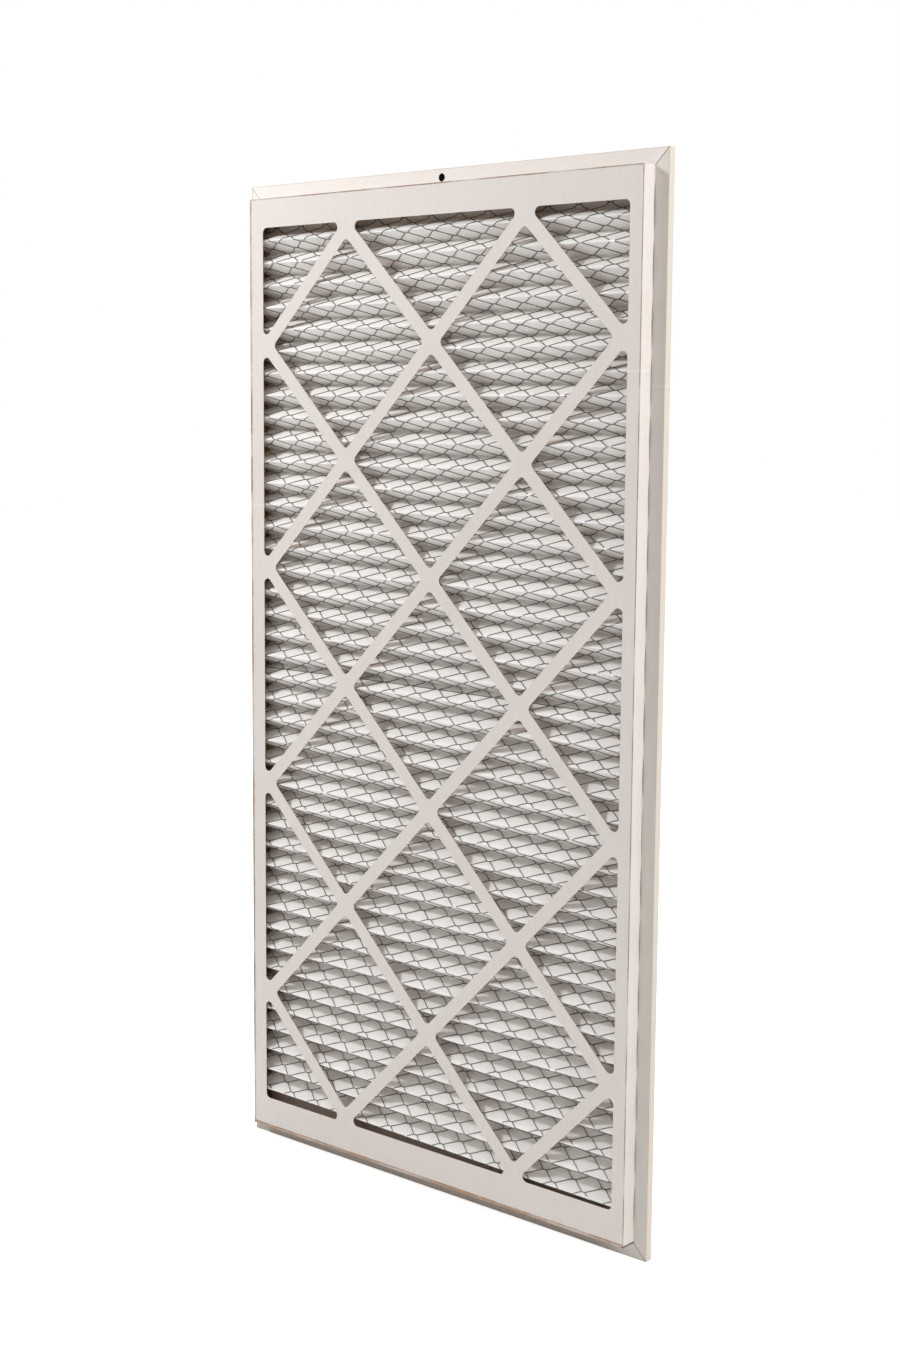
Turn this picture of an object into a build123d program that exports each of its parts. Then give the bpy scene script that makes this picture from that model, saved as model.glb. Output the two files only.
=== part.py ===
"""A pleated panel air filter: two folded board frames around a pleated sheet with a wire backing.

X is the width, +Y points from the front face to the back face and +Z is up. The origin is the middle
of the bottom edge, at half the depth. Lengths are in millimetres.
"""
from build123d import *
import os
from math import asin, atan2, hypot, sin, tan

# ---- Driving dimensions ------------------------------------------------------------------------

# The box in front of the flange, and the flange around it
box_width = 606.0
box_height = 1200.0
overall_depth = 31.0
front_depth = 20.7        # from the front face back to the flange
flange_width = 18.0       # how far the flange stands out all round

# Board
board = 0.7               # thickness of the folded board
fold_round = 0.9          # outside radius of a folded edge
mitre_gap = 0.5           # slit between two flange strips at a corner
leg_depth = 16.0          # how far the flange's inner legs reach forward, inside the front walls
glue_line = 0.1           # between a leg and the front wall that it is glued to

# Rear edges of the front walls: they touch the flange at glue spots and lift between them
glue_spacing = 63.0
glue_spot = 8.0           # length of wall that touches the flange
wall_lift = 1.8           # largest gap between two spots
wall_end = 12.0           # straight stretch at each end of a wall

# Hanging hole in the top strip of the flange
hanging_hole = 9.5        # diameter
hanging_height = 8.0      # centre above the top of the box

# Window in the front face
border_left = 23.6
border_right = 17.1
border_top = 35.9
border_bottom = 40.0

# Window in the back face, measured from the edge of the rim
rear_border = 48.0

# Lattice of straps across each window
bays_across = 4
bays_up = 8
strap_width = 16.5
strap_inset = 6.5         # from the window's edge in to the row where the straps meet
cell_radius = 6.5         # in the corners of each opening

# Pleated pack
pleat_count = 41
pack_margin = 35.5        # from the last fold to the frame, at the top and at the bottom
front_space = 1.8         # between the front face's board and the pack
rear_space = 1.5          # between the back face's board and the pack
pack_clearance = 0.2      # between the sheet's edges and the frame
media_thickness = 1.6
wire_thickness = 0.9
fold_radius = 0.6         # inside the tightest folds

# ---- Worked out from them ----------------------------------------------------------------------

front_y = -overall_depth / 2
rear_y = overall_depth / 2
flange_y = front_y + front_depth
rim_depth = rear_y - flange_y
outer_width = box_width + 2 * flange_width
outer_height = box_height + 2 * flange_width
middle_z = outer_height / 2
box_left = -box_width / 2
box_right = box_width / 2
box_bottom = flange_width
box_top = flange_width + box_height

leg_width = box_width - 2 * (board + glue_line)       # outside of the ring of legs
leg_height = box_height - 2 * (board + glue_line)
pack_width = leg_width - 2 * (board + pack_clearance)
pack_height = leg_height - 2 * (board + pack_clearance)


def block(width, depth, height, front):
    """A box around the filter's upright centre line, with its front side at the given y."""
    return Pos(0, front + depth / 2, middle_z) * Box(width, depth, height)


# ---- Lattice windows -----------------------------------------------------------------------------

def lattice_cells(left, right, bottom, top):
    """The openings between the straps of one window, as a sketch on the XY plane with Y up.

    The straps run between the nodes of a grid whose column and row numbers add up to an odd number,
    so the openings lie around the other nodes. An opening beside the window's edge is a diamond that
    is grown outwards along its two inner sides and cut off by that edge.
    """
    window = Pos((left + right) / 2, (bottom + top) / 2) * Rectangle(right - left, top - bottom)
    pitch_x = (right - left - 2 * strap_inset) / bays_across
    pitch_z = (top - bottom - 2 * strap_inset) / bays_up
    slope = pitch_z / pitch_x
    reach = pitch_x - strap_width / 2 * hypot(1, slope) / slope
    cells = Sketch()
    for column in range(bays_across + 1):
        for row in range(column % 2, bays_up + 1, 2):
            side = (column == bays_across) - (column == 0)
            end = (row == bays_up) - (row == 0)
            x = left + strap_inset + column * pitch_x + side * pitch_x
            z = bottom + strap_inset + row * pitch_z + end * pitch_z
            half = reach + (abs(side) + abs(end)) * pitch_x
            diamond = make_face(Polyline((half, 0), (0, half * slope), (-half, 0), (0, -half * slope),
                                         close=True))
            cell = (Pos(x, z) * diamond) & window
            cells += fillet(cell.vertices(), cell_radius)
    return cells


def cut_through(sketch, y):
    """The sketch stood upright and extruded through the board whose front side is at y."""
    return extrude(Plane((0, y + board, 0), x_dir=(1, 0, 0), z_dir=(0, -1, 0)) * sketch, board)


# ---- Front frame ---------------------------------------------------------------------------------

def wall_scallops(length, across, middle, along, normal):
    """Cutters for the lifted stretches between the glue spots of two opposite front walls."""
    run = length - 2 * wall_end
    count = max(1, round(run / glue_spacing))
    half_chord = (run / count - glue_spot) / 2
    segment = make_face([Line((-half_chord, 0), (half_chord, 0)),
                         ThreePointArc((-half_chord, 0), (0, -wall_lift), (half_chord, 0))])
    plane = Plane(middle, x_dir=along, z_dir=normal)
    starts = [(index + 0.5) * run / count - run / 2 for index in range(count)]
    return [extrude(plane * Pos(start, 0) * segment, across, both=True) for start in starts]


def make_front_frame():
    """The front face with its straps, and the four walls folded back from it."""
    outside = block(box_width, front_depth, box_height, front_y)
    front_edges = outside.edges().group_by(Axis.Y)[0]
    outside = fillet(front_edges + outside.edges().filter_by(Axis.Y), fold_round)
    inside = block(box_width - 2 * board, front_depth - board, box_height - 2 * board, front_y + board)
    cells = lattice_cells(box_left + border_left, box_right - border_right,
                          box_bottom + border_bottom, box_top - border_top)
    edge_middle = (0, flange_y, middle_z)
    side_walls = wall_scallops(box_height, box_width, edge_middle, (0, 0, 1), (-1, 0, 0))
    end_walls = wall_scallops(box_width, box_height, edge_middle, (1, 0, 0), (0, 0, 1))
    return outside - inside - cut_through(cells, front_y) - side_walls - end_walls


# ---- Rear frame ----------------------------------------------------------------------------------

def make_rear_frame():
    """The back face with its straps, the rim, the flange and the legs inside the front walls."""
    outside = block(outer_width, rim_depth, outer_height, flange_y)
    outside = fillet(outside.edges(), fold_round)
    hollow = block(outer_width - 2 * board, rim_depth - 2 * board, outer_height - 2 * board,
                   flange_y + board)
    mouth = block(leg_width, board, leg_height, flange_y)
    leg_front = flange_y - leg_depth
    legs = block(leg_width, leg_depth + board, leg_height, leg_front)
    legs -= block(leg_width - 2 * board, leg_depth + board, leg_height - 2 * board, leg_front)
    rear_half = outer_width / 2 - rear_border
    cells = lattice_cells(-rear_half, rear_half, rear_border, outer_height - rear_border)
    hole_height = box_top + hanging_height
    hole = Pos(0, flange_y + board / 2, hole_height) * Rot(90, 0, 0) * Cylinder(hanging_hole / 2, board)
    frame = outside - hollow - mouth - cut_through(cells, rear_y - board) + legs - hole
    return frame - mitre_slits(leg_front)


def mitre_slits(leg_front):
    """Cutters for the slits at 45 degrees that part the four flange strips and their legs."""
    inner_x = leg_width / 2 - 2 * board
    inner_z = leg_height / 2 - 2 * board
    run = flange_width + board + glue_line + board
    depth = leg_depth + board
    slit = Box(2 * hypot(run, run), depth, mitre_gap)
    slits = []
    for x_side in (-1, 1):
        for z_side in (-1, 1):
            place = Pos(x_side * inner_x, leg_front + depth / 2, middle_z + z_side * inner_z)
            slits.append(place * Rot(0, -45 * x_side * z_side, 0) * slit)
    keep = block(outer_width - 2 * board, depth, outer_height - 2 * board, leg_front)
    return [slit & keep for slit in slits]


# ---- Pleated pack ----------------------------------------------------------------------------------

pleat_pitch = (pack_height - 2 * pack_margin) / pleat_count
pack_front = front_y + board + front_space
pack_rear = rear_y - board - rear_space

# The middle of the media's thickness turns on this radius at every fold.
turn = fold_radius + wire_thickness + media_thickness / 2
ridge_centre = pack_front + wire_thickness + media_thickness / 2 + turn
valley_centre = pack_rear - media_thickness / 2 - turn

# The flat flanks are tangent to the folds, so they lean from the depth by this angle.
span = hypot(pleat_pitch / 2, valley_centre - ridge_centre)
lean = atan2(pleat_pitch / 2, valley_centre - ridge_centre) - asin(2 * turn / span)


def pleat_line(forward):
    """The pleated line that lies a distance in front of the media's middle, from bottom to top.

    The first and the last stretch run flat along the back, out to the frame.
    """
    ridge_radius = turn + forward
    valley_radius = turn - forward
    ridge_y = ridge_centre - ridge_radius / sin(lean)
    valley_y = valley_centre + valley_radius / sin(lean)
    strip_y = valley_centre + valley_radius
    strip_reach = pleat_pitch / 2 - (valley_y - strip_y) * tan(lean)
    bottom = middle_z - pack_height / 2
    first_ridge = bottom + pack_margin + pleat_pitch / 2
    last_ridge = first_ridge + (pleat_count - 1) * pleat_pitch
    points = [(strip_y, bottom), (strip_y, first_ridge - strip_reach)]
    radii = [valley_radius]
    for index in range(pleat_count):
        ridge_z = first_ridge + index * pleat_pitch
        points.append((ridge_y, ridge_z))
        radii.append(ridge_radius)
        if index < pleat_count - 1:
            points.append((valley_y, ridge_z + pleat_pitch / 2))
            radii.append(valley_radius)
    points += [(strip_y, last_ridge + strip_reach), (strip_y, bottom + pack_height)]
    radii.append(valley_radius)
    return FilletPolyline(*points, radius=radii)


def pleated_sheet(front, back):
    """The sheet between two pleated lines, given by how far they lie in front of the middle."""
    front_line = pleat_line(front)
    back_line = pleat_line(back)
    outline = [front_line, back_line,
               Line(front_line @ 0, back_line @ 0), Line(front_line @ 1, back_line @ 1)]
    upright = Plane((0, 0, 0), x_dir=(0, 1, 0), z_dir=(1, 0, 0))
    return extrude(upright * make_face(outline), pack_width / 2, both=True)


def make_pleated_media():
    """The filter media, folded from one sheet."""
    return pleated_sheet(media_thickness / 2, -media_thickness / 2)


def make_wire_backing():
    """The expanded metal as a thin skin on the media's front, folded with it."""
    return pleated_sheet(media_thickness / 2 + wire_thickness, media_thickness / 2)


# ---- Build and write -------------------------------------------------------------------------------

nodes = {
    "front_frame": make_front_frame(),
    "rear_frame": make_rear_frame(),
    "pleated_media": make_pleated_media(),
    "wire_backing": make_wire_backing(),
}

os.makedirs("parts", exist_ok=True)
for name, part in nodes.items():
    export_step(part, f"parts/{name}.step")
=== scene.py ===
import math
from bisect import bisect_right

import bpy
from bpy.props import FloatProperty, FloatVectorProperty, IntProperty, PointerProperty
from mathutils import Euler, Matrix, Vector


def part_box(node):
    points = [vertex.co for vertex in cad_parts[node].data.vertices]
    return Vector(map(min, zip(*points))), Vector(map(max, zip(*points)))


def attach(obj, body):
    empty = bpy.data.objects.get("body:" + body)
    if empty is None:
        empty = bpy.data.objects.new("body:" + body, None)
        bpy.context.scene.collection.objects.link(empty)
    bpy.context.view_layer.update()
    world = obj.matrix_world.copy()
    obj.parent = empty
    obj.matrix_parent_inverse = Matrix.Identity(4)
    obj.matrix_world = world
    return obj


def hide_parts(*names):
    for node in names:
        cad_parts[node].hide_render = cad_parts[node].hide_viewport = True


bl_info = {
    "name": "Pleated Panel Filter",
    "version": (1, 0, 0),
    "blender": (4, 5, 0),
    "location": "View3D > Sidebar > Filter",
    "description": "Finishes the board frame, folds the media and its wire backing, and sets the stage",
    "category": "Object",
}

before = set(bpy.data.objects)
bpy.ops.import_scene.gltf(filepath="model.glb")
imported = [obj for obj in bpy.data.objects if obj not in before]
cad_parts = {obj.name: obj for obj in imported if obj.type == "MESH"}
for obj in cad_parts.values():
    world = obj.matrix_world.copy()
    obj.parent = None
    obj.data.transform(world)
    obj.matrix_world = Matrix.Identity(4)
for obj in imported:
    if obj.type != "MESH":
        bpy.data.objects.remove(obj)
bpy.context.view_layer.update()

MEDIA_LOW, MEDIA_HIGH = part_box("pleated_media")
WIRE_LOW, WIRE_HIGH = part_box("wire_backing")
FRONT_LOW, FRONT_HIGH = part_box("front_frame")
REAR_LOW, REAR_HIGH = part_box("rear_frame")

FLANGE_Y = FRONT_HIGH.y   # the front walls stand on the flange
BOARD = 0.0007            # thickness of the folded board
HAIR = 0.0001             # how far off a plane a point may lie and still count as on it
SHEET_GAP = 0.0002        # space kept between the media, the wire and the frame

# Joints where board lies over board: the height of each, and the stretch across the filter that it spans
LEFT_OF_WINDOW = FRONT_LOW.x + 0.0235
RIGHT_OF_WINDOW = FRONT_HIGH.x - 0.0175
BEYOND = 1.0              # past either side of the filter
FACE_JOINTS = ((1.001, RIGHT_OF_WINDOW, BEYOND), (0.838, -BEYOND, LEFT_OF_WINDOW))
FLANGE_JOINTS = ((0.985, FRONT_HIGH.x, BEYOND), (0.286, FRONT_HIGH.x, BEYOND))


# ---- Settings ------------------------------------------------------------------------------------

class BoardFinish(bpy.types.PropertyGroup):
    """Colours and sizes of the coated board."""
    coat: FloatVectorProperty(
        name="Coating", description="White coating on the outer face of the board",
        subtype="COLOR", size=3, min=0, max=1, default=(0.715, 0.657, 0.622))
    kraft: FloatVectorProperty(
        name="Kraft", description="Bare brown inner face of the board",
        subtype="COLOR", size=3, min=0, max=1, default=(0.68, 0.40, 0.21))
    cut_edge: FloatVectorProperty(
        name="Cut edge", description="Pale core that shows where the board is cut",
        subtype="COLOR", size=3, min=0, max=1, default=(0.80, 0.70, 0.56))
    crease: FloatVectorProperty(
        name="Crease", description="Core that shows where the coating is cracked along a front fold",
        subtype="COLOR", size=3, min=0, max=1, default=(0.25, 0.145, 0.08))
    worn_crease: FloatVectorProperty(
        name="Worn crease", description="Rubbed kraft along the bottom fold of the front",
        subtype="COLOR", size=3, min=0, max=1, default=(0.38, 0.21, 0.11))
    soft_crease: FloatVectorProperty(
        name="Soft crease", description="Rubbed coating along the folds of the rim",
        subtype="COLOR", size=3, min=0, max=1, default=(0.60, 0.54, 0.45))
    side_crease: FloatProperty(
        name="Side crease", description="Width of the cracked line along an upright fold",
        unit="LENGTH", min=0, default=0.0011)
    # Partly painted shadow: the line along the top fold is darker and wider partly for the shade where the
    # fold meets the flange behind
    top_crease_and_shadow: FloatProperty(
        name="Top crease and shadow", description="Width of the dark line along the top fold, partly a crack and partly painted shadow",
        unit="LENGTH", min=0, default=0.0020)
    bottom_crease: FloatProperty(
        name="Bottom crease", description="Width of the rubbed line along the bottom fold",
        unit="LENGTH", min=0, default=0.0046)
    hole_height: FloatProperty(
        name="Hole height", description="Height of the hanging hole's centre above the front box",
        unit="LENGTH", default=0.008)
    # Painted light: colour that makes the flange's top strip paler, standing in for the light it catches
    painted_lit_top_strip: FloatVectorProperty(
        name="Painted light on top strip", description="Painted light on the front of the flange's top strip",
        subtype="COLOR", size=3, min=0, max=1, default=(0.87, 0.82, 0.77))
    aged: FloatVectorProperty(
        name="Aged coating", description="Greyer patches on the front of the flange",
        subtype="COLOR", size=3, min=0, max=1, default=(0.66, 0.645, 0.585))
    # Painted shade: darkens the front of the flange's bottom strip, which lies in the shade of the box
    painted_bottom_shade: FloatVectorProperty(
        name="Painted bottom shade", description="Dust on the front of the flange's bottom strip",
        subtype="COLOR", size=3, min=0, max=1, default=(0.36, 0.31, 0.27))
    rim: FloatVectorProperty(
        name="Rim", description="Yellowed coating on the outer sides of the rim",
        subtype="COLOR", size=3, min=0, max=1, default=(0.60, 0.54, 0.46))
    # Painted shade: the dark colour put into the mitres, crevices, corner gaps and the hanging hole, where
    # shade falls
    recess_shade_colour: FloatVectorProperty(
        name="Painted recess shade", description="Dark glue and dust in the gaps between two boards",
        subtype="COLOR", size=3, min=0, max=1, default=(0.06, 0.05, 0.04))
    pale_joint: FloatVectorProperty(
        name="Pale joint", description="Coating that catches the light along a joint",
        subtype="COLOR", size=3, min=0, max=1, default=(0.84, 0.79, 0.75))
    scored_height: FloatProperty(
        name="Scored line", description="Height of the scored line above the bottom fold",
        unit="LENGTH", default=0.0036)


class PleatSizes(bpy.types.PropertyGroup):
    """Sizes of the folded media."""
    count: IntProperty(name="Pleats", description="Number of ridges", min=1, default=41)
    margin: FloatProperty(
        name="End strip", description="Flat strip between the frame and the first fold",
        unit="LENGTH", default=0.0355)
    thickness: FloatProperty(
        name="Media thickness", description="Thickness of the filter media",
        unit="LENGTH", default=0.0008)
    ridge_radius: FloatProperty(
        name="Ridge radius", description="Radius of the middle of the wire over a ridge",
        unit="LENGTH", default=0.0011)
    valley_radius: FloatProperty(
        name="Valley radius", description="Radius of the middle of the wire in a valley",
        unit="LENGTH", default=0.0005)
    pillow: FloatProperty(
        name="Pillow height", description="How far the media bulges through each cell of the wire",
        unit="LENGTH", default=0.00036)
    sag: FloatProperty(
        name="Sag", description="How far the pleats have slipped down at the lower right",
        unit="LENGTH", default=0.0060)
    pressed: FloatProperty(
        name="Pressed", description="How much further the lowest pleat is pressed down at the right",
        unit="LENGTH", default=0.0026)
    pressed_reach: FloatProperty(
        name="Pressed reach", description="Height over which the lowest pleats are pressed down",
        unit="LENGTH", min=0.001, default=0.09)
    fibre: FloatVectorProperty(
        name="Fibre", description="Colour of the media",
        subtype="COLOR", size=3, min=0, max=1, default=(0.905, 0.885, 0.865))
    # Painted shade: the colour the media takes on deep in its valleys
    painted_shade: FloatVectorProperty(
        name="Painted shade", description="Colour of the media deep in its valleys",
        subtype="COLOR", size=3, min=0, max=1, default=(0.80, 0.72, 0.62))


class WireSizes(bpy.types.PropertyGroup):
    """Sizes of the expanded metal."""
    long_way: FloatProperty(
        name="Long way", description="Length of one diamond across the filter",
        unit="LENGTH", default=0.0435)
    rows_per_pleat: FloatProperty(
        name="Rows per pleat", description="Rows of bonds along the sheet in one pleat",
        min=1, default=4.5)
    row_shift: FloatProperty(
        name="Row shift", description="How far the rows are moved from the first ridge, in rows",
        default=0.5)
    bond: FloatProperty(
        name="Bond", description="Length of the joint between two strands",
        unit="LENGTH", default=0.0045)
    strand: FloatProperty(
        name="Strand", description="Width of one strand",
        unit="LENGTH", default=0.0010)
    depth: FloatProperty(
        name="Strand depth", description="Thickness of the metal",
        unit="LENGTH", default=0.0006)
    metal: FloatVectorProperty(
        name="Metal", description="Colour of the dull galvanised metal",
        subtype="COLOR", size=3, min=0, max=1, default=(0.17, 0.17, 0.155))
    # Partly painted highlight: brighter metal on the ridge tips stands in for glints as well as rubbed wear
    rubbed: FloatVectorProperty(
        name="Rubbed metal and glints", description="Brighter metal where the ridges are rubbed and catch glints",
        subtype="COLOR", size=3, min=0, max=1, default=(0.70, 0.69, 0.67))


class StageSetup(bpy.types.PropertyGroup):
    """Floor, lamps and camera."""
    floor: FloatVectorProperty(
        name="Floor", description="Colour of the floor",
        subtype="COLOR", size=3, min=0, max=1, default=(0.92, 0.92, 0.92))
    glow: FloatProperty(
        name="Floor glow", description="How strongly the floor shines where the camera sees it",
        min=0, default=0.72)
    key_power: FloatProperty(
        name="Key lamp", description="Power of the lamp at the upper left", unit="POWER", default=28.5)
    side_power: FloatProperty(
        name="Side lamp", description="Power of the lamp at the right", unit="POWER", default=36)
    corner_power: FloatProperty(
        name="Corner lamp", description="Power of the small lamp near the upper left corner",
        unit="POWER", default=1.6)
    back_power: FloatProperty(
        name="Back lamp", description="Power of the lamp behind the filter", unit="POWER", default=36)
    sky: FloatProperty(
        name="Sky", description="Strength of the even light from all round", min=0, default=0.43)
    lens: FloatProperty(
        name="Lens", description="Focal length of the camera in millimetres", min=1, default=53.1)


# ---- Node trees ----------------------------------------------------------------------------------

def place(tree, kind, x, y, **settings):
    """A new node at a place in the tree, with its settings."""
    node = tree.nodes.new(kind)
    node.location = (x, y)
    for name, item in settings.items():
        setattr(node, name, item)
    return node


def value(tree, operation, x, y, first, second=None, clamp=False):
    """A Math node's output; each input is a number or another node's output."""
    node = place(tree, "ShaderNodeMath", x, y, operation=operation, use_clamp=clamp)
    for socket, given in zip(node.inputs, (first, second)):
        if isinstance(given, bpy.types.NodeSocket):
            tree.links.new(given, socket)
        elif given is not None:
            socket.default_value = given
    return node.outputs[0]


def times(tree, x, y, first, second, clamp=False):
    """The product of two values."""
    return value(tree, "MULTIPLY", x, y, first, second, clamp)


def ramp(tree, x, y, given, low, high, out_low=0.0, out_high=1.0):
    """Smooth step of a value between two limits."""
    node = place(tree, "ShaderNodeMapRange", x, y, interpolation_type="SMOOTHSTEP")
    tree.links.new(given, node.inputs["Value"])
    node.inputs["From Min"].default_value = low
    node.inputs["From Max"].default_value = high
    node.inputs["To Min"].default_value = out_low
    node.inputs["To Max"].default_value = out_high
    return node.outputs["Result"]


def blend_colour(tree, x, y, factor, first, second):
    """A colour mixed from two; each is a colour or another node's output."""
    node = place(tree, "ShaderNodeMix", x, y, data_type="RGBA", blend_type="MIX")
    for name, given in (("Factor_Float", factor), ("A_Color", first), ("B_Color", second)):
        socket = next(s for s in node.inputs if s.identifier == name)
        if isinstance(given, bpy.types.NodeSocket):
            tree.links.new(given, socket)
        else:
            socket.default_value = (*given, 1)
    return next(s for s in node.outputs if s.identifier == "Result_Color")


def toned(tree, x, y, colour, tone):
    """A colour, given as numbers or as an output, made lighter or darker by a factor."""
    node = place(tree, "ShaderNodeVectorMath", x, y, operation="SCALE")
    if isinstance(colour, bpy.types.NodeSocket):
        tree.links.new(colour, node.inputs[0])
    else:
        node.inputs[0].default_value = colour
    tree.links.new(tone, node.inputs["Scale"])
    return node.outputs["Vector"]


def noise(tree, x, y, vector, scale, detail, roughness=0.5):
    """The value of a noise texture."""
    node = place(tree, "ShaderNodeTexNoise", x, y)
    tree.links.new(vector, node.inputs["Vector"])
    node.inputs["Scale"].default_value = scale
    node.inputs["Detail"].default_value = detail
    node.inputs["Roughness"].default_value = roughness
    return node.outputs["Fac"]


def stretched(tree, x, y, vector, scale):
    """The vector scaled on each axis."""
    node = place(tree, "ShaderNodeMapping", x, y)
    tree.links.new(vector, node.inputs["Vector"])
    node.inputs["Scale"].default_value = scale
    return node.outputs["Vector"]


def new_group(name, inputs, outputs):
    """An empty shader group with named sockets, and its input and output nodes."""
    tree = bpy.data.node_groups.new(name, "ShaderNodeTree")
    for socket, kind, default in inputs:
        made = tree.interface.new_socket(name=socket, in_out="INPUT", socket_type=kind)
        if default is not None:
            made.default_value = default
    for socket, kind in outputs:
        tree.interface.new_socket(name=socket, in_out="OUTPUT", socket_type=kind)
    start = place(tree, "NodeGroupInput", -1200, 0)
    end = place(tree, "NodeGroupOutput", 900, 0)
    return tree, start, end


def paper_grain_group():
    """Cloudy tone and fine fibres of paper board."""
    name = "Paper Grain"
    if name in bpy.data.node_groups:
        return bpy.data.node_groups[name]
    tree, start, end = new_group(
        name,
        [("Vector", "NodeSocketVector", None), ("Colour", "NodeSocketColor", None),
         ("Cloud", "NodeSocketFloat", 0.05), ("Fibre", "NodeSocketFloat", 0.05)],
        [("Colour", "NodeSocketColor"), ("Height", "NodeSocketFloat"),
         ("Roughness", "NodeSocketFloat")])
    vector = start.outputs["Vector"]
    clouds = noise(tree, -900, 300, vector, 9, 4, 0.55)
    fine = noise(tree, -900, 100, stretched(tree, -1100, 100, vector, (1, 1, 0.16)), 900, 3, 0.6)
    streaks = noise(tree, -900, 0, stretched(tree, -1100, 0, vector, (1, 1, 0.08)), 260, 3, 0.6)
    specks = noise(tree, -900, -100, vector, 2600, 2, 0.6)
    cloud = times(tree, -600, 300, value(tree, "SUBTRACT", -750, 300, clouds, 0.5), start.outputs["Cloud"])
    both = value(tree, "ADD", -750, 50, times(tree, -850, 50, streaks, 0.6), fine)
    fibre = times(tree, -600, 100, value(tree, "SUBTRACT", -750, 100, both, 0.8), start.outputs["Fibre"])
    tone = value(tree, "ADD", -300, 200, value(tree, "ADD", -450, 200, cloud, fibre), 1.0)
    tree.links.new(toned(tree, 0, 200, start.outputs["Colour"], tone), end.inputs["Colour"])
    height = value(tree, "ADD", 0, -50, times(tree, -150, -50, fine, 0.7),
                   times(tree, -150, -200, specks, 0.3))
    tree.links.new(height, end.inputs["Height"])
    tree.links.new(ramp(tree, 0, -300, clouds, 0.25, 0.75, 0.50, 0.64), end.inputs["Roughness"])
    return tree


def fold_crease_group():
    """Mask of a cracked line along a fold, from how far a point is from the fold's two planes."""
    name = "Fold Crease"
    if name in bpy.data.node_groups:
        return bpy.data.node_groups[name]
    tree, start, end = new_group(
        name,
        [("Vector", "NodeSocketVector", None), ("First", "NodeSocketFloat", 0.0),
         ("Second", "NodeSocketFloat", 0.0), ("Width", "NodeSocketFloat", 0.001)],
        [("Mask", "NodeSocketFloat")])
    away = value(tree, "MAXIMUM", -800, 0, value(tree, "ABSOLUTE", -950, 80, start.outputs["First"]),
                 value(tree, "ABSOLUTE", -950, -80, start.outputs["Second"]))
    ragged = noise(tree, -800, -250, start.outputs["Vector"], 160, 4, 0.65)
    reach = times(tree, -400, -250, start.outputs["Width"], value(tree, "ADD", -550, -250, ragged, 0.45))
    line = value(tree, "SUBTRACT", -200, 0, 1.0, value(tree, "DIVIDE", -350, 0, away, reach))
    clumps = noise(tree, -600, -450, start.outputs["Vector"], 22, 3)
    patches = ramp(tree, -400, -450, clumps, 0.3, 0.62, 0.35, 1.0)
    mask = times(tree, 200, 0, ramp(tree, 0, 0, line, -0.1, 0.45), patches)
    tree.links.new(mask, end.inputs["Mask"])
    return tree


def use_group(tree, group, x, y, **given):
    """A group placed in a material; each input is linked, or set to a number or a colour."""
    node = place(tree, "ShaderNodeGroup", x, y, node_tree=group)
    for name, item in given.items():
        socket = node.inputs[name]
        if isinstance(item, bpy.types.NodeSocket):
            tree.links.new(item, socket)
        elif isinstance(item, (int, float)):
            socket.default_value = item
        else:
            socket.default_value = (*item, 1)
    return node


def new_material(name):
    """A new material with its node tree and its Principled shader."""
    material = bpy.data.materials.new(name)
    material.use_nodes = True
    tree = material.node_tree
    shader = next(n for n in tree.nodes if n.type == "BSDF_PRINCIPLED")
    shader.location = (1200, 0)
    tree.nodes["Material Output"].location = (1500, 0)
    return material, tree, shader


def add_bump(tree, shader, height, strength, distance):
    """Feeds a height into the shader's normal."""
    bump = place(tree, "ShaderNodeBump", 900, -300)
    bump.inputs["Strength"].default_value = strength
    bump.inputs["Distance"].default_value = distance
    tree.links.new(height, bump.inputs["Height"])
    tree.links.new(bump.outputs["Normal"], shader.inputs["Normal"])


# ---- Board ---------------------------------------------------------------------------------------

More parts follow.
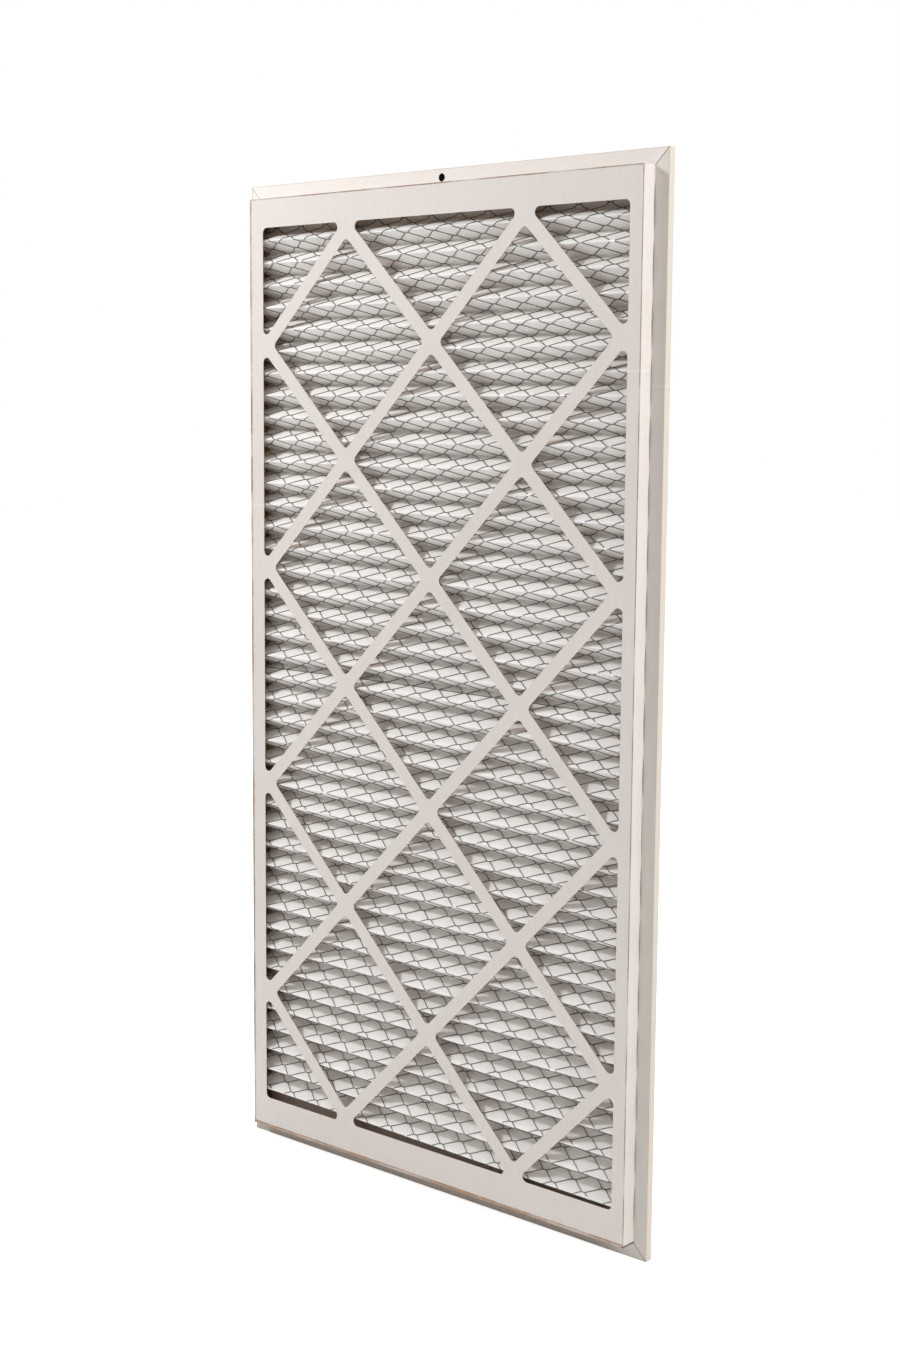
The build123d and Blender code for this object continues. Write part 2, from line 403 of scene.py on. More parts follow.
def flange_masks(tree, coords, x, y, from_side, from_top, from_end):
    """Masks of the marks on the rear frame.

    They are painted light on the flange's top strip, its aged patches, painted shade on its bottom strip,
    the yellowed outer sides of the rim, and painted shade in the mitres and the crevices behind the front
    walls.
    """
    on_front = value(tree, "LESS_THAN", -1200, -1850, y, FLANGE_Y + 3 * HAIR)
    from_right = value(tree, "SUBTRACT", -1200, -1600, REAR_HIGH.x, x)
    # Painted light: the top strip, bounded by its mitres, is made paler
    at_top = times(tree, -600, -1500, value(tree, "LESS_THAN", -800, -1500, from_top, from_right),
                   value(tree, "LESS_THAN", -800, -1600, from_top, 0.021))
    painted_lit_top_strip = times(tree, -200, -1500, 0.75, times(tree, -400, -1500, on_front, at_top))
    patches = ramp(tree, -800, -1100, noise(tree, -1000, -1100, coords, 11, 3), 0.36, 0.62, 0.25, 0.8)
    aged = times(tree, -400, -1100, patches,
                 value(tree, "SUBTRACT", -600, -1100, on_front, at_top, clamp=True))

    # Painted shade darkens the bottom strip up to its right end, where it fades out
    at_bottom = times(tree, -600, -1200, value(tree, "LESS_THAN", -800, -1200, from_end, from_side),
                      value(tree, "GREATER_THAN", -800, -1250, from_top, 0.1))
    painted_bottom_shade = times(tree, -200, -1200, times(tree, -400, -1200, on_front, at_bottom),
                   ramp(tree, -600, -1280, x, 0.29, 0.24, 0.0, 0.7))
    on_rim = value(tree, "LESS_THAN", -800, -1350, from_side, 0.0006)
    rim = times(tree, -600, -1350, on_rim, 0.6)

    # Painted shade: a dark line along the mitres at the right, and dark patches behind the lifted walls
    # where the crevices lie in shade
    off_mitre = value(tree, "ABSOLUTE", -1200, -1700,
                      value(tree, "SUBTRACT", -1400, -1700, from_side, from_end))
    mitre = times(tree, -600, -1700, ramp(tree, -1000, -1700, off_mitre, 0.0011, 0.0004),
                  times(tree, -800, -1850, on_front, ramp(tree, -1200, -1950, x, -0.1, 0.3)))
    behind = value(tree, "LESS_THAN", -1000, -2050, y, FLANGE_Y - 3 * HAIR)
    painted_crevice_shade = ramp(tree, -800, -2150, noise(tree, -1000, -2150, coords, 13, 2), 0.32, 0.44)
    painted_recess_shade = value(tree, "MAXIMUM", -400, -1900, times(tree, -600, -1900, mitre, 0.75),
                  times(tree, -600, -2050, behind, painted_crevice_shade))
    return painted_lit_top_strip, aged, painted_bottom_shade, rim, painted_recess_shade


def face_masks(tree, coords, finish, y, from_side, from_bottom):
    """Masks of the line scored above the front's bottom fold and of painted shade in the gaps at its lower
    corners.
    """
    on_face = value(tree, "LESS_THAN", -1200, -1850, y, FRONT_LOW.y + 4 * HAIR)
    off_line = value(tree, "ABSOLUTE", -1200, -1700,
                     value(tree, "SUBTRACT", -1400, -1700, from_bottom, finish.scored_height))
    worn = ramp(tree, -1000, -1950, noise(tree, -1200, -1950, coords, 30, 3), 0.35, 0.55, 0.3, 0.8)
    line = times(tree, -800, -1700, ramp(tree, -1000, -1700, off_line, 0.0011, 0.0003), worn)
    scored = times(tree, -600, -1700, on_face, line)
    # Painted shade: dark gaps where the lower corners of the front box meet the flange
    gap = use_group(tree, fold_crease_group(), -1000, 1100, Vector=coords, First=from_side,
                    Second=from_bottom, Width=2.5 * finish.side_crease).outputs["Mask"]
    return scored, times(tree, -600, -2050, gap, 2.2, clamp=True)


def joint_masks(tree, x, z, joints):
    """The step and the painted highlight line at each joint of board laid over board, given by height and
    span.
    """
    step = pale = 0.0
    for index, (height, first_x, last_x) in enumerate(joints):
        row = -700 - 350 * index
        inside = times(tree, -1000, row, value(tree, "GREATER_THAN", -1200, row, x, first_x),
                       value(tree, "LESS_THAN", -1200, row - 150, x, last_x))
        above = value(tree, "SUBTRACT", -1400, row, z, height)
        drop = ramp(tree, -1000, row - 150, above, -0.0006, 0.0006, 1.0, 0.0)
        line = ramp(tree, -1000, row - 250, value(tree, "ABSOLUTE", -1200, row - 250, above),
                    0.0012, 0.0003)
        step = value(tree, "ADD", -600, row, times(tree, -800, row, drop, inside), step)
        pale = value(tree, "ADD", -600, row - 150, times(tree, -800, row - 150, line, inside), pale)
    return step, pale


def coated_board(name, finish, low, high, widths, fold_planes, creases, joints, has_flange):
    """White coated board of one frame, cracked along its folds, with its joints, painted highlights along
    them and painted shade in its gaps.

    widths are those of the lines along the upright folds, the top folds and the bottom folds, and
    creases are the colours of the lines at the bottom and further up. Only the rear frame has the
    flange, and the other one gets the marks of the front face.
    """
    material, tree, shader = new_material(name)
    coords = place(tree, "ShaderNodeTexCoord", -2200, 0).outputs["Object"]
    split = place(tree, "ShaderNodeSeparateXYZ", -2000, 0)
    tree.links.new(coords, split.inputs[0])
    x, y, z = split.outputs
    from_side = value(tree, "SUBTRACT", -1600, 300, high.x, value(tree, "ABSOLUTE", -1800, 300, x))
    from_top = value(tree, "SUBTRACT", -1600, 150, high.z, z)
    from_bottom = value(tree, "SUBTRACT", -1600, 0, z, low.z)

    # The left fold is rubbed four times as wide as the right one
    at_left = value(tree, "LESS_THAN", -1800, 450, x, 0.0)
    narrower = value(tree, "SUBTRACT", -1600, 450, 1.0, times(tree, -1700, 450, at_left, 0.75))
    from_fold = times(tree, -1400, 300, from_side, narrower)
    # The dark line along the front's top fold is partly a crack and partly painted shadow
    side_width, top_width, bottom_width = widths
    folds = []
    for index, plane in enumerate(fold_planes):
        from_plane = value(tree, "SUBTRACT", -1600, -200 - 150 * index, y, plane)
        folds += [(from_fold, from_plane, side_width), (from_top, from_plane, top_width),
                  (from_bottom, from_plane, bottom_width)]
    cracked = 0.0
    for index, (first, second, width) in enumerate(folds):
        mask = use_group(tree, fold_crease_group(), -1000, 900 - 200 * index, Vector=coords,
                         First=first, Second=second, Width=width).outputs["Mask"]
        cracked = value(tree, "MAXIMUM", -800 + 60 * index, 900 - 200 * index, mask, cracked)
    crease = blend_colour(tree, -200, 700, ramp(tree, -400, 700, from_bottom, 0.004, 0.012), *creases)

    step, pale = joint_masks(tree, x, z, joints)
    grain = use_group(tree, paper_grain_group(), 0, 0, Vector=coords, Colour=finish.coat,
                      Cloud=0.12, Fibre=0.18)
    colour = grain.outputs["Colour"]
    if has_flange:
        from_end = value(tree, "MINIMUM", -1400, 100, from_top, from_bottom)
        painted_lit_top_strip, aged, painted_bottom_shade, rim, painted_recess_shade = flange_masks(
            tree, coords, x, y, from_side, from_top, from_end)
        # The top strip gets painted light and the bottom strip painted shade
        for index, (mask, tone) in enumerate(((painted_lit_top_strip, finish.painted_lit_top_strip), (aged, finish.aged),
                                              (painted_bottom_shade, finish.painted_bottom_shade), (rim, finish.rim))):
            colour = blend_colour(tree, 100 + 40 * index, 200, mask, colour, tone)
    colour = blend_colour(tree, 300, 200, times(tree, 100, 400, cracked, 0.85), colour, crease)
    # Painted highlight along each joint
    colour = blend_colour(tree, 500, 200, times(tree, 300, 0, pale, 0.35, clamp=True),
                          colour, finish.pale_joint)
    if not has_flange:
        scored, painted_recess_shade = face_masks(tree, coords, finish, y, from_side, from_bottom)
        colour = blend_colour(tree, 600, 200, scored, colour, finish.crease)
    # Painted shade in the mitres, the crevices and the corner gaps
    colour = blend_colour(tree, 700, 200, painted_recess_shade, colour, finish.recess_shade_colour)
    tree.links.new(colour, shader.inputs["Base Color"])
    roughness = value(tree, "ADD", 600, 0, grain.outputs["Roughness"],
                      times(tree, 450, 0, cracked, 0.3), clamp=True)
    tree.links.new(roughness, shader.inputs["Roughness"])
    height = value(tree, "ADD", 600, -300, grain.outputs["Height"], times(tree, 450, -400, step, 5))
    add_bump(tree, shader, height, 0.35, 0.0002)
    shader.inputs["Specular IOR Level"].default_value = 0.35
    return material


def plain_board(name, colour, cloud, fibre, recess_shade_colour, hole):
    """Uncoated board: the kraft inner face or a cut edge, with painted shade behind the hanging hole."""
    material, tree, shader = new_material(name)
    coords = place(tree, "ShaderNodeTexCoord", -400, 0).outputs["Object"]
    grain = use_group(tree, paper_grain_group(), 0, 0, Vector=coords, Colour=colour,
                      Cloud=cloud, Fibre=fibre)
    # Painted shade: the board behind the hanging hole is made dark
    reach = place(tree, "ShaderNodeVectorMath", 0, -400, operation="DISTANCE")
    tree.links.new(coords, reach.inputs[0])
    reach.inputs[1].default_value = hole
    painted_recess_shade = ramp(tree, 200, -400, reach.outputs["Value"], 0.018, 0.014)
    tree.links.new(blend_colour(tree, 400, 200, painted_recess_shade, grain.outputs["Colour"], recess_shade_colour),
                   shader.inputs["Base Color"])
    rough = value(tree, "ADD", 600, 0, grain.outputs["Roughness"], 0.25, clamp=True)
    tree.links.new(rough, shader.inputs["Roughness"])
    add_bump(tree, shader, grain.outputs["Height"], 0.5, 0.0003)
    shader.inputs["Specular IOR Level"].default_value = 0.2
    return material


COATED, BARE, CUT = 0, 1, 2     # the material slots of both frames
SQUARE = 0.7                    # a triangle faces along an axis if its normal has this much on it


def from_edges(centre, low, high):
    """How far a point lies inside a frame's sides and its ends, and how far above its middle."""
    above = centre.z - (low.z + high.z) / 2
    return (high.x - low.x) / 2 - abs(centre.x), (high.z - low.z) / 2 - abs(above), above


def side_of_front(centre, normal):
    """Which of the board's finishes a triangle of the front frame shows."""
    from_side, from_end, above = from_edges(centre, FRONT_LOW, FRONT_HIGH)
    in_face = centre.y < FRONT_LOW.y + BOARD + HAIR
    if in_face and normal.y > 0.5:
        return BARE
    if in_face and abs(normal.y) < 0.5 and min(from_side, from_end) > 0.005:
        return CUT
    if normal.y > 0.5:
        return CUT
    toward_side = normal.x * centre.x < 0 and from_side < 2 * BOARD and abs(normal.x) > SQUARE
    toward_end = normal.z * above < 0 and from_end < 2 * BOARD and abs(normal.z) > SQUARE
    return BARE if toward_side or toward_end else COATED


def side_of_rear(centre, normal):
    """Which of the board's finishes a triangle of the rear frame shows."""
    from_side, from_end, above = from_edges(centre, REAR_LOW, REAR_HIGH)
    inside = min(from_side, from_end)
    if abs(normal.y) > SQUARE:
        if centre.y > REAR_HIGH.y - HAIR or abs(centre.y - FLANGE_Y) < HAIR:
            return COATED
        return CUT if centre.y < FLANGE_Y - 0.001 else BARE
    outward = normal.x * centre.x > 0 if from_side < from_end else normal.z * above > 0
    if inside < 0.001:
        return COATED if outward or abs(normal.y) > 0.1 else BARE
    in_window = centre.y > REAR_HIGH.y - BOARD - HAIR
    in_hole_or_slit = centre.y > FLANGE_Y - HAIR and inside < 0.016
    if in_window or in_hole_or_slit or abs(abs(normal.x) - abs(normal.z)) < 0.2:
        return CUT
    return COATED if outward else BARE


class FILTER_OT_finish_board(bpy.types.Operator):
    """Gives the two board frames their coated, bare and cut faces"""
    bl_idname = "filter.finish_board"
    bl_label = "Finish Board Frames"

    def execute(self, context):
        finish = context.scene.filter_board
        hole = (0, FLANGE_Y + BOARD, FRONT_HIGH.z + finish.hole_height)
        bare = plain_board("bare kraft board", finish.kraft, 0.22, 0.25, finish.recess_shade_colour, hole)
        cut = plain_board("cut board edge", finish.cut_edge, 0.1, 0.3, finish.recess_shade_colour, hole)
        front_coat = coated_board(
            "coated front board", finish, FRONT_LOW, FRONT_HIGH,
            widths=(finish.side_crease, finish.top_crease_and_shadow, finish.bottom_crease),
            fold_planes=(FRONT_LOW.y,), creases=(finish.worn_crease, finish.crease),
            joints=FACE_JOINTS, has_flange=False)
        rear_coat = coated_board(
            "coated rear board", finish, REAR_LOW, REAR_HIGH,
            widths=(finish.side_crease,) * 3,
            fold_planes=(FLANGE_Y, REAR_HIGH.y), creases=(finish.soft_crease, finish.soft_crease),
            joints=FLANGE_JOINTS, has_flange=True)
        for name, coat, side_of in (("front_frame", front_coat, side_of_front),
                                    ("rear_frame", rear_coat, side_of_rear)):
            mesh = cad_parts[name].data
            mesh.materials.clear()
            for material in (coat, bare, cut):
                mesh.materials.append(material)
            for face in mesh.polygons:
                face.material_index = side_of(face.center, face.normal)
        return {"FINISHED"}


# ---- Folded sheet --------------------------------------------------------------------------------

class FoldPath:
    """The middle line of the wire, which keeps its length when the pack is folded.

    It is followed by the length of flat sheet used so far. A heading of zero runs straight up, and a
    positive heading leans towards the front.
    """

    def __init__(self, sizes, wires):
        low, high = MEDIA_LOW, MEDIA_HIGH
        strip_y = high.y - sizes.thickness - wires.depth / 2 - SHEET_GAP
        ridge_y = WIRE_LOW.y + wires.depth / 2
        pitch = (high.z - low.z - 2 * sizes.margin) / sizes.count
        radii = sizes.ridge_radius + sizes.valley_radius
        rise = strip_y - ridge_y - radii
        span = math.hypot(pitch / 2, rise)
        lean = math.atan2(pitch / 2, rise) - math.asin(radii / span)
        flank = math.sqrt(span ** 2 - radii ** 2)
        swing = math.pi / 2 - lean
        self.stretches = []
        self.folds = []
        self.used = 0.0
        self.point = Vector((0, strip_y, low.z))
        self.heading = 0.0
        self._run(sizes.margin)
        for index in range(sizes.count):
            self._bend(swing if index == 0 else 2 * swing, sizes.valley_radius)
            self._run(flank)
            self._bend(-2 * swing, sizes.ridge_radius)
            self._run(flank)
        self._bend(swing, sizes.valley_radius)
        self._run(sizes.margin)
        self.starts = [stretch[0] for stretch in self.stretches]
        self.first_ridge = self.folds[1][0] + self.folds[1][1] / 2
        pleat = self.folds[3][0] - self.folds[1][0]
        self.half_row = pleat / wires.rows_per_pleat
        self.row_shift = wires.row_shift

    def row(self, length):
        """The number of rows of bonds up to a length of sheet; it is whole on a row of bonds."""
        return (length - self.first_ridge) / self.half_row + self.row_shift

    def length_at(self, row):
        """The length of sheet at a row of bonds."""
        return self.first_ridge + (row - self.row_shift) * self.half_row

    def _run(self, length):
        self.stretches.append((self.used, self.point.copy(), self.heading, 0.0))
        way = Vector((0, -math.sin(self.heading), math.cos(self.heading)))
        self.point = self.point + way * length
        self.used += length

    def _bend(self, angle, radius):
        curve = math.copysign(1 / radius, angle)
        start = self.used
        self.stretches.append((start, self.point.copy(), self.heading, curve))
        length = abs(angle) * radius
        self.folds.append((start, length))
        self.point, _ = self._along(self.stretches[-1], length)
        self.heading += angle
        self.used += length

    @staticmethod
    def _along(stretch, length):
        _, point, heading, curve = stretch
        if curve == 0:
            move = Vector((0, -math.sin(heading), math.cos(heading))) * length
            after = heading
        else:
            after = heading + curve * length
            move = Vector((0, math.cos(after) - math.cos(heading),
                           math.sin(after) - math.sin(heading))) / curve
        return point + move, after

    def at(self, length):
        """The point at a length of sheet, and the direction that faces the front there."""
        found = self.stretches[max(0, bisect_right(self.starts, length) - 1)]
        point, heading = self._along(found, length - found[0])
        return point, Vector((0, -math.cos(heading), -math.sin(heading)))


def fold_rows(path, first, last, in_fold, in_flank, extra=()):
    """Lengths of sheet at which a mesh is divided, so that every fold stays round.

    Each fold and each flank gets a number of steps, and the extra lengths are always kept.
    """
    closest = 0.0002
    marks = {first, last}
    previous = 0.0
    for start, length in [*path.folds, (path.used, 0.0)]:
        marks.update(previous + (start - previous) * step / in_flank for step in range(1, in_flank))
        marks.update(start + length * step / in_fold for step in range(in_fold + 1))
        previous = start + length
    marks.update(extra)
    kept = []
    for mark in sorted(mark for mark in marks if first <= mark <= last):
        if not kept or mark - kept[-1] > closest:
            kept.append(mark)
        elif mark in extra:
            kept[-1] = mark
    kept[-1] = last
    return kept


def settle(sizes, x, z):
    """How far a point of the pack has slipped down, which it can't do at its glued ends."""
    low, high = MEDIA_LOW, MEDIA_HIGH
    across = max(0.0, (x - low.x) / (high.x - low.x))
    down = (high.z - z) / (high.z - low.z)
    hold = min(1.0, max(0.0, (z - low.z) / sizes.margin)) * min(1.0, max(0.0, (high.z - z) / sizes.margin))
    hold = hold * hold * (3 - 2 * hold)
    over_strip = max(0.0, z - low.z - sizes.margin)
    pressed = sizes.pressed * across * max(0.0, 1 - over_strip / sizes.pressed_reach)
    wander = 0.0006 * math.sin(10.2 * x + 9 * z) + 0.0004 * math.sin(31 * z + 4 * x)
    return hold * (sizes.sag * down * across ** 1.3 + pressed + wander)


def bulge(path, wires, x, length):
    """How far the media stands out in a cell of the wire, from nothing at a strand to one."""
    across = x / wires.long_way
    along = path.row(length) / 2
    return abs(math.sin(math.pi * (across + along)) * math.sin(math.pi * (across - along)))


def flat_grid(name, columns, rows, width, length):
    """A flat grid of the given number of cells, centred on the origin."""
    bpy.ops.object.select_all(action="DESELECT")
    bpy.ops.mesh.primitive_grid_add(x_subdivisions=columns, y_subdivisions=rows, size=1,
                                    location=(0, 0, 0))
    piece = bpy.context.object
    piece.scale = (width, length, 1)
    bpy.ops.object.transform_apply(location=False, rotation=False, scale=True)
    piece.name = name
    piece.data.name = name
    return piece


def apply_modifier(piece, kind, **settings):
    """Adds a modifier with its settings and applies it."""
    modifier = piece.modifiers.new(kind.title(), kind)
    for name, item in settings.items():
        setattr(modifier, name, item)
    bpy.context.view_layer.objects.active = piece
    bpy.ops.object.modifier_apply(modifier=modifier.name)


def media_material(sizes):
    """White felted fibre, with painted shade making it darker deep in its valleys."""
    material, tree, shader = new_material("felted media")
    vector = place(tree, "ShaderNodeTexCoord", -1400, 0).outputs["Object"]
    clouds = noise(tree, -900, 300, vector, 30, 4, 0.6)
    fibres = noise(tree, -900, 100, stretched(tree, -1100, 100, vector, (0.35, 1, 1)), 1500, 4, 0.65)
    fluff = noise(tree, -900, -100, vector, 420, 4, 0.6)
    tone = value(tree, "ADD", -500, 200, ramp(tree, -700, 300, clouds, 0.3, 0.7, -0.03, 0.03),
                 ramp(tree, -700, 100, fibres, 0.3, 0.7, 0.95, 1.04))
    split = place(tree, "ShaderNodeSeparateXYZ", -900, -350)
    tree.links.new(vector, split.inputs[0])
    # Painted shade: the media is made darker and browner the deeper it lies in its valleys
    deep = ramp(tree, -500, -350, split.outputs["Y"], WIRE_LOW.y, MEDIA_HIGH.y, 0.0, 0.25)
    colour = blend_colour(tree, 300, 200, deep, toned(tree, 0, 200, sizes.fibre, tone), sizes.painted_shade)
    tree.links.new(colour, shader.inputs["Base Color"])
    height = value(tree, "ADD", 200, -200, times(tree, 0, -200, fluff, 0.7),
                   times(tree, 0, -350, fibres, 0.4))
    add_bump(tree, shader, height, 0.5, 0.0005)
    tree.links.new(ramp(tree, 600, 0, fluff, 0.3, 0.7, 0.75, 0.92), shader.inputs["Roughness"])
    shader.inputs["Specular IOR Level"].default_value = 0.2
    shader.inputs["Sheen Weight"].default_value = 0.15
    shader.inputs["Sheen Roughness"].default_value = 0.5
    return material


class FILTER_OT_fold_media(bpy.types.Operator):
    """Folds the flat sheet of media into its pleats"""
    bl_idname = "filter.fold_media"
    bl_label = "Fold Media"

    def execute(self, context):
        sizes = context.scene.filter_pleats
        wires = context.scene.filter_wire
        path = FoldPath(sizes, wires)
        width = MEDIA_HIGH.x - MEDIA_LOW.x
        behind = (wires.depth + sizes.thickness) / 2 + SHEET_GAP
        rows = fold_rows(path, 0.0, path.used, in_fold=3, in_flank=4)
        columns = 82
        piece = flat_grid("folded_media", columns, len(rows) - 1, width, path.used)
        mesh = piece.data
        where = [path.at(length) for length in rows]
        flat = {}
        for vertex in mesh.vertices:
            x = vertex.co.x
            row = round((vertex.co.y / path.used + 0.5) * (len(rows) - 1))
            flat[vertex.index] = (x, rows[row])
            point, facing = where[row]
            spot = point + facing * (bulge(path, wires, x, rows[row]) * sizes.pillow - behind)
            vertex.co = (x, spot.y, spot.z - settle(sizes, x, spot.z))
        sheet_map = mesh.uv_layers[0]
        for loop in mesh.loops:
            x, length = flat[loop.vertex_index]
            sheet_map.data[loop.index].uv = (x / width + 0.5, length / path.used)
        apply_modifier(piece, "SOLIDIFY", thickness=sizes.thickness, offset=0)
        for face in mesh.polygons:
            face.use_smooth = True
        mesh.materials.append(media_material(sizes))
        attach(piece, "root")
        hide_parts("pleated_media")
        return {"FINISHED"}


# ---- Wire backing --------------------------------------------------------------------------------

def metal_material(wires):
    """Dull galvanised strands, darker in patches, and brighter along some ridges: partly rubbed metal,
    partly painted glints.
    """
    material, tree, shader = new_material("dull galvanised wire")
    vector = place(tree, "ShaderNodeTexCoord", -1400, 0).outputs["Object"]
    patches = noise(tree, -900, 300, vector, 60, 3, 0.6)
    spangle = noise(tree, -900, 100, vector, 700, 3, 0.6)
    tone = times(tree, -400, 200, ramp(tree, -600, 300, patches, 0.3, 0.7, 0.8, 1.2),
                 ramp(tree, -600, 100, spangle, 0.3, 0.7, 0.85, 1.15))
    split = place(tree, "ShaderNodeSeparateXYZ", -900, -200)
    tree.links.new(vector, split.inputs[0])
    # Partly painted highlight: brighter metal on the ridge tips, for glints as well as rubbed wear
    on_ridge = ramp(tree, -600, -200, split.outputs["Y"], WIRE_LOW.y + 0.0009, WIRE_LOW.y + 0.0002)
    rubbed = times(tree, -400, -200, on_ridge,
                   ramp(tree, -600, -350, noise(tree, -900, -350, vector, 45, 2), 0.55, 0.68))
    colour = blend_colour(tree, 200, 200, rubbed, toned(tree, 0, 200, wires.metal, tone), wires.rubbed)
    tree.links.new(colour, shader.inputs["Base Color"])
    tree.links.new(ramp(tree, 0, 0, spangle, 0.3, 0.7, 0.38, 0.58), shader.inputs["Roughness"])
    shader.inputs["Metallic"].default_value = 0.9
    add_bump(tree, shader, spangle, 0.3, 0.0002)
    return material


def strand_x(wires, column, row):
    """Where the strand of a column runs at a row of bonds; two columns meet along each bond."""
    half = wires.long_way / 2
    phase = row % 2
    swing = phase if phase <= 1 else 2 - phase
    away = wires.bond / 2 + swing * (half - wires.bond)
    return column * half + away if column % 2 == 0 else (column + 1) * half - away


def flat_net(name, path, rows, wires, width):
    """The flat expanded metal between two rows of bonds, cut to the pack's width.

    The grid's upright edges become the strands. The edges across them are dissolved, apart from those
    on a bond, so that the faces left are the diamonds, which are inset and deleted.
    """
    diamonds = math.ceil(width / 2 / wires.long_way)
    columns = 4 * diamonds
    count = len(rows) - 1
    piece = flat_grid(name, columns, count, columns, count)
    mesh = piece.data
    spots = {}
    for vertex in mesh.vertices:
        column = round(vertex.co.x + columns / 2)
        row = round(vertex.co.y + count / 2)
        spots[vertex.index] = (column, row)
        vertex.co = (strand_x(wires, column, path.row(rows[row])) - diamonds * wires.long_way, rows[row], 0)

    bpy.ops.object.mode_set(mode="EDIT")
    bpy.ops.mesh.select_all(action="DESELECT")
    bpy.ops.mesh.select_mode(type="EDGE")
    bpy.ops.object.mode_set(mode="OBJECT")
    for edge in mesh.edges:
        (column, row), (other_column, other_row) = (spots[v] for v in edge.vertices)
        if row != other_row or row in (0, count):
            continue
        bond_row = path.row(rows[row])
        near = round(bond_row)
        is_bond = abs(bond_row - near) < 1e-4 and (near + min(column, other_column)) % 2 == 1
        edge.select = not is_bond
    bpy.ops.object.mode_set(mode="EDIT")
    bpy.ops.mesh.dissolve_edges(use_verts=False)
    bpy.ops.mesh.select_mode(type="FACE")
    bpy.ops.mesh.select_all(action="SELECT")
    bpy.ops.mesh.inset(thickness=wires.strand / 2, use_individual=True, use_even_offset=True)
    bpy.ops.mesh.delete(type="FACE")
    for side in (-1, 1):
        bpy.ops.mesh.select_all(action="SELECT")
        bpy.ops.mesh.bisect(plane_co=(side * (width / 2 - SHEET_GAP), 0, 0), plane_no=(side, 0, 0),
                            clear_outer=True)
    bpy.ops.object.mode_set(mode="OBJECT")
    return piece


class FILTER_OT_fold_wire(bpy.types.Operator):
    """Cuts the expanded metal and folds it with the media"""
    bl_idname = "filter.fold_wire"
    bl_label = "Fold Wire Backing"

    def execute(self, context):
        sizes = context.scene.filter_pleats
        wires = context.scene.filter_wire
        path = FoldPath(sizes, wires)
        width = WIRE_HIGH.x - WIRE_LOW.x
        first_bond = math.ceil(path.row(sizes.margin))
        last_bond = math.floor(path.row(path.used))
        middle_bond = (first_bond + last_bond) // 2
        metal = metal_material(wires)
        for name, first, last in (("lower_expanded_metal", first_bond, middle_bond),
                                  ("upper_expanded_metal", middle_bond, last_bond)):
            bonds = [path.length_at(row) for row in range(first, last + 1)]
            rows = fold_rows(path, bonds[0], bonds[-1], in_fold=4, in_flank=1, extra=bonds)
            piece = flat_net(name, path, rows, wires, width)
            for vertex in piece.data.vertices:
                x = vertex.co.x
                point, facing = path.at(vertex.co.y)
                spot = point + facing * wires.depth / 2
                vertex.co = (x, spot.y, spot.z - settle(sizes, x, spot.z))
            apply_modifier(piece, "SOLIDIFY", thickness=wires.depth, offset=-1)
            piece.data.materials.append(metal)
            bpy.ops.object.shade_smooth_by_angle(angle=math.radians(40))
            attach(piece, "root")
            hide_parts("wire_backing")
        return {"FINISHED"}


# ---- Stage ---------------------------------------------------------------------------------------

CAMERA_PLACE = (1.567407, -1.768187, 0.952442)
CAMERA_TURN = (82.56455, -0.43761, 41.19012)     # degrees about X, Y and Z


def backdrop_seen(tree, x, y):
    """One for rays that see the backdrop: straight, mirrored or through glass."""
    paths = place(tree, "ShaderNodeLightPath", x, y)
    seen = value(tree, "MAXIMUM", x + 200, y, paths.outputs["Is Camera Ray"], paths.outputs["Is Glossy Ray"])
    return value(tree, "MAXIMUM", x + 400, y, seen, paths.outputs["Is Transmission Ray"])


def add_lamp(name, location, spot, size, power):
    """An area lamp that shines at a spot."""
    bpy.ops.object.light_add(type="AREA", location=location)
    lamp = bpy.context.object
    lamp.name = name
    lamp.data.shape = "DISK"
    lamp.data.size = size
    lamp.data.energy = power
    lamp.rotation_euler = (Vector(spot) - lamp.location).to_track_quat("-Z", "Y").to_euler()


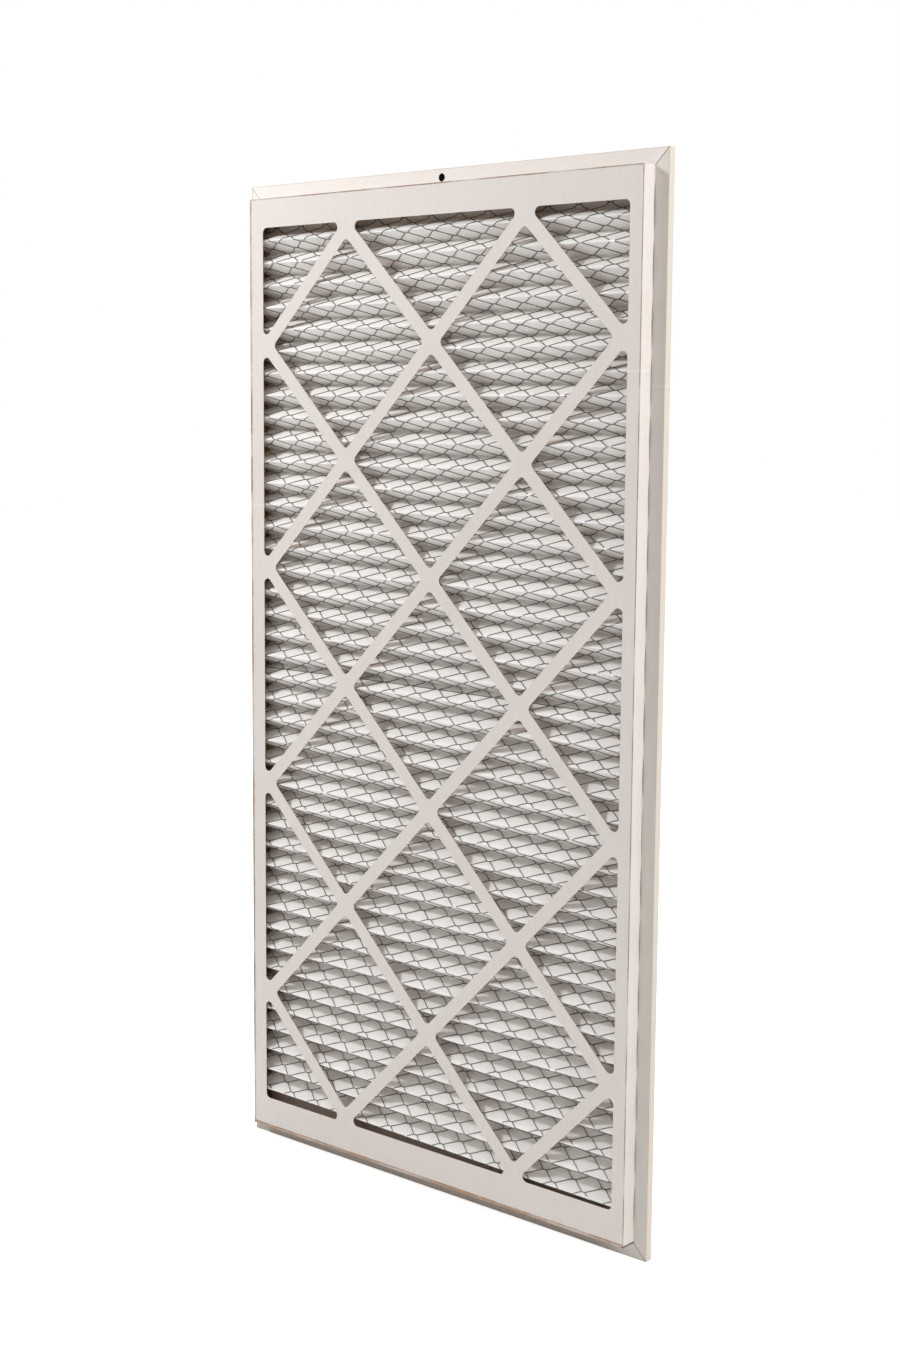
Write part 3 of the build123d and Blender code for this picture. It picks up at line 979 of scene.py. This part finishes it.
class FILTER_OT_set_stage(bpy.types.Operator):
    """Lays the floor and places the lamps and the camera"""
    bl_idname = "filter.set_stage"
    bl_label = "Set Stage"

    def execute(self, context):
        setup = context.scene.filter_stage
        bpy.ops.object.select_all(action="DESELECT")
        bpy.ops.mesh.primitive_plane_add(size=30, location=(0, 0, 0))
        floor = context.object
        floor.name = "floor"
        material, tree, shader = new_material("pale floor")
        shader.inputs["Base Color"].default_value = (*setup.floor, 1)
        shader.inputs["Roughness"].default_value = 0.8
        shader.inputs["Specular IOR Level"].default_value = 0.1
        shader.inputs["Emission Color"].default_value = (1, 1, 1, 1)
        glow = times(tree, 900, -500, backdrop_seen(tree, 300, -500), setup.glow)
        tree.links.new(glow, shader.inputs["Emission Strength"])
        floor.data.materials.append(material)

        for name, location, spot, size, power in (
                ("key lamp", (-1.3, -1.5, 2.2), (0, 0, 0.7), 0.36, setup.key_power),
                ("side lamp", (2.3, -0.05, 1.9), (0.3, 0, 0.7), 0.8, setup.side_power),
                ("corner lamp", (-0.9, -0.6, 1.6), (-0.25, 0, 1.15), 0.3, setup.corner_power),
                ("back lamp", (-0.9, 2.4, 2.0), (0, 0, 0.6), 0.8, setup.back_power)):
            add_lamp(name, location, spot, size, power)

        world = bpy.data.worlds.new("pale sky")
        context.scene.world = world
        world.use_nodes = True
        tree = world.node_tree
        sky = tree.nodes["Background"]
        sky.inputs["Color"].default_value = (1, 1, 1, 1)
        shown = times(tree, -350, -100, backdrop_seen(tree, -900, -100), 1 - setup.sky)
        strength = value(tree, "ADD", -200, -100, setup.sky, shown)
        tree.links.new(strength, sky.inputs["Strength"])

        bpy.ops.object.camera_add(location=CAMERA_PLACE,
                                  rotation=Euler([math.radians(angle) for angle in CAMERA_TURN]))
        camera = context.object
        camera.name = "camera"
        camera.data.lens = setup.lens
        camera.data.sensor_width = 36
        context.scene.camera = camera
        context.scene.view_settings.view_transform = "Standard"
        return {"FINISHED"}


# ---- Panel and registration ----------------------------------------------------------------------

STEPS = (FILTER_OT_finish_board, FILTER_OT_fold_media, FILTER_OT_fold_wire, FILTER_OT_set_stage)
SETTINGS = (("filter_board", BoardFinish), ("filter_pleats", PleatSizes),
            ("filter_wire", WireSizes), ("filter_stage", StageSetup))


class FILTER_PT_tools(bpy.types.Panel):
    """The filter's settings and the steps that make it"""
    bl_label = "Pleated Panel Filter"
    bl_idname = "FILTER_PT_tools"
    bl_space_type = "VIEW_3D"
    bl_region_type = "UI"
    bl_category = "Filter"

    def draw(self, context):
        for (name, group), step in zip(SETTINGS, STEPS):
            box = self.layout.box()
            for setting in group.__annotations__:
                box.prop(getattr(context.scene, name), setting)
            box.operator(step.bl_idname)


def register():
    for name, group in SETTINGS:
        bpy.utils.register_class(group)
        setattr(bpy.types.Scene, name, PointerProperty(type=group))
    for step in STEPS:
        bpy.utils.register_class(step)
    bpy.utils.register_class(FILTER_PT_tools)


def unregister():
    bpy.utils.unregister_class(FILTER_PT_tools)
    for step in reversed(STEPS):
        bpy.utils.unregister_class(step)
    for name, group in reversed(SETTINGS):
        delattr(bpy.types.Scene, name)
        bpy.utils.unregister_class(group)


def main():
    register()
    bpy.ops.filter.finish_board()
    bpy.ops.filter.fold_media()
    bpy.ops.filter.fold_wire()
    bpy.ops.filter.set_stage()


if __name__ == "__main__":
    main()
